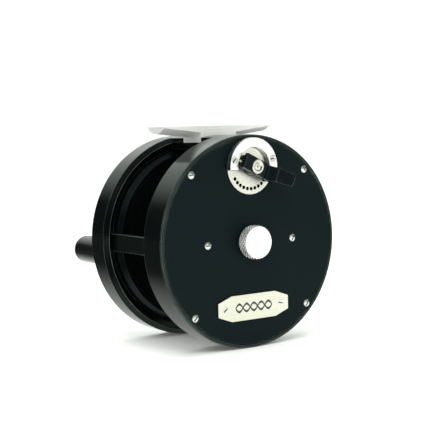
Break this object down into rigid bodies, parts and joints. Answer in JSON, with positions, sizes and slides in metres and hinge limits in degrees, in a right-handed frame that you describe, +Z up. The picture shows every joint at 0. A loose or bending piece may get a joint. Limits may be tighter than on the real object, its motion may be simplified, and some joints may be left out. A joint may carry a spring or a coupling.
{
  "type": "fly reel",
  "caption": "Wide fly reel with a one-piece cage, a drag lever on a detent disc, a drum brake on the spool, a flat rod foot and a counterweighted crank with a turning grip.",
  "frame": {"origin": "centre of the foot's flat top face, where the reel seats on the rod", "axes": "+X along the rod and the foot, +Y along the spool axis from the drag side to the handle side, +Z up out of the foot towards the rod"},
  "size_m": [0.1, 0.1126, 0.1045],
  "materials": {
    "black_anodised": "black anodised, satin, fine turned grain",
    "black_lever": "black anodised, satin, worn at the edges",
    "screw_steel": "bright slotted heads, turned",
    "bright_button": "bright turned steel",
    "knurled_silver": "bright diamond knurl, polished face",
    "satin_alloy": "milled",
    "name_plate_metal": "satin nickel silver",
    "black_enamel": "black enamel in the engraving",
    "index_silver": "satin silver, brushed",
    "arch_silver": "bright silver",
    "foot_silver": "satin silver",
    "bronze": "turned bearing bronze",
    "hard_steel": "ground steel",
    "drum_steel": "ground and polished by the linings",
    "spring_steel": "oil-tempered spring steel",
    "shoe_alloy": "machined",
    "lining": "oiled brake lining",
    "grip_black": "polished black hard rubber"
  },
  "bodies": {
    "frame": {"cage": "black_anodised", "drag_side_plate": "black_anodised", "drag_plate_screws": "screw_steel", "bearing_yoke": "satin_alloy", "yoke_screws": "screw_steel", "handle_side_plate": "black_anodised", "handle_plate_screws": "screw_steel", "name_plate": "name_plate_metal", "name_plate_enamel": "black_enamel", "name_plate_screws": "screw_steel", "index_plate": "index_silver", "index_plate_screw": "screw_steel", "index_arch": "arch_silver", "index_arch_screws": "screw_steel", "reel_foot": "foot_silver", "foot_screws": "screw_steel", "front_bush": "bronze", "rear_bush": "bronze", "brake_anchor_pins": "hard_steel", "click_pawl_post": "hard_steel", "click_spring": "spring_steel", "click_spring_post": "hard_steel"},
    "bearing_cap": {"bearing_cap": "knurled_silver"},
    "drag_lever": {"drag_lever": "black_lever", "lever_button": "bright_button", "index_pin": "hard_steel", "brake_cam": "hard_steel"},
    "left_shoe": {"left_brake_shoe": "shoe_alloy", "left_shoe_lining": "lining", "brake_return_spring": "spring_steel"},
    "right_shoe": {"right_brake_shoe": "shoe_alloy", "right_shoe_lining": "lining"},
    "spool": {"spool": "black_anodised", "spool_shaft": "hard_steel", "brake_drum": "drum_steel", "click_gear": "hard_steel", "thrust_washer": "bronze", "crank": "black_anodised", "crank_nut": "screw_steel", "grip_post": "hard_steel", "grip_screw": "screw_steel"},
    "handle_grip": {"handle_grip": "grip_black"},
    "click_pawl": {"click_pawl": "hard_steel"}
  },
  "joints": [
    {"name": "spool_spin", "type": "hinge", "parent": "frame", "child": "spool", "pos_m": [0, 0, -0.0545], "axis": [0, 1, 0], "continuous": true},
    {"name": "grip_spin", "type": "hinge", "parent": "spool", "child": "handle_grip", "pos_m": [-0.03482, 0, -0.0619], "axis": [0, 1, 0], "continuous": true},
    {"name": "lever_turn", "type": "hinge", "parent": "frame", "child": "drag_lever", "pos_m": [0, 0, -0.0194], "axis": [0, 1, 0], "range_deg": [0, 120.5]},
    {"name": "left_shoe_swing", "type": "hinge", "parent": "frame", "child": "left_shoe", "pos_m": [-0.0055, 0, -0.0888], "axis": [0, 1, 0], "range_deg": [-0.4, 0]},
    {"name": "right_shoe_swing", "type": "hinge", "parent": "frame", "child": "right_shoe", "pos_m": [0.0055, 0, -0.0888], "axis": [0, 1, 0], "range_deg": [0, 0.4]},
    {"name": "cap_turn", "type": "hinge", "parent": "frame", "child": "bearing_cap", "pos_m": [0, 0, -0.0545], "axis": [0, 1, 0], "range_deg": [-180, 180]},
    {"name": "pawl_swing", "type": "hinge", "parent": "frame", "child": "click_pawl", "pos_m": [0, 0, -0.073], "axis": [0, 1, 0], "range_deg": [-10, 10], "stiffness_Nm_per_rad": 0.004, "deforming": ["click_spring"]}
  ],
  "couplings": [
    {"joint": "left_shoe_swing", "follows": "lever_turn", "ratio": -0.0033},
    {"joint": "right_shoe_swing", "follows": "lever_turn", "ratio": 0.0033}
  ]
}
